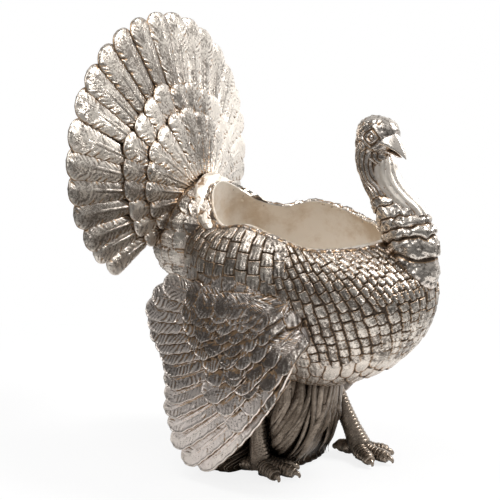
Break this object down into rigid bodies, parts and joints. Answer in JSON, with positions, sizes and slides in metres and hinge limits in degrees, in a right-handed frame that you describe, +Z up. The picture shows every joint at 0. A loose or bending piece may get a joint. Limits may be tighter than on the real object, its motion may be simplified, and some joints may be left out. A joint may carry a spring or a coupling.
{
  "type": "thanksgiving turkey vessel figure",
  "caption": "Strutting turkey figure with raised tail fan, drooped wings and an open bowl in its back, standing on a grass base.",
  "frame": {"origin": "on the table, under the middle of the whole figure's box", "axes": "+X the way the bird looks, +Y its left side, +Z up"},
  "size_m": [0.3322, 0.3192, 0.454],
  "materials": {
    "silver_leaf": "antiqued silver leaf over cast resin, brown in the grooves",
    "dark_leaf": "silver leaf under a dark brown glaze, over cast resin",
    "bare_steel": "plain cold-drawn steel",
    "felt": "black felt"
  },
  "bodies": {
    "root": {"body_shell": "silver_leaf", "tail_fan": "silver_leaf", "right_wing": "silver_leaf", "left_wing": "silver_leaf", "neck": "silver_leaf", "head": "silver_leaf", "right_leg": "dark_leaf", "left_leg": "dark_leaf", "grass_base": "dark_leaf", "felt_sheet": "felt", "felt_dot_right": "felt", "felt_dot_left": "felt", "neck_dowel": "bare_steel", "head_dowel": "bare_steel", "base_stud": "bare_steel", "tail_dowel_left": "bare_steel", "tail_dowel_right": "bare_steel", "wing_dowel_left_front": "bare_steel", "wing_dowel_left_rear": "bare_steel", "wing_dowel_right_front": "bare_steel", "wing_dowel_right_rear": "bare_steel", "leg_rod_left": "bare_steel", "leg_rod_right": "bare_steel"}
  },
  "joints": []
}
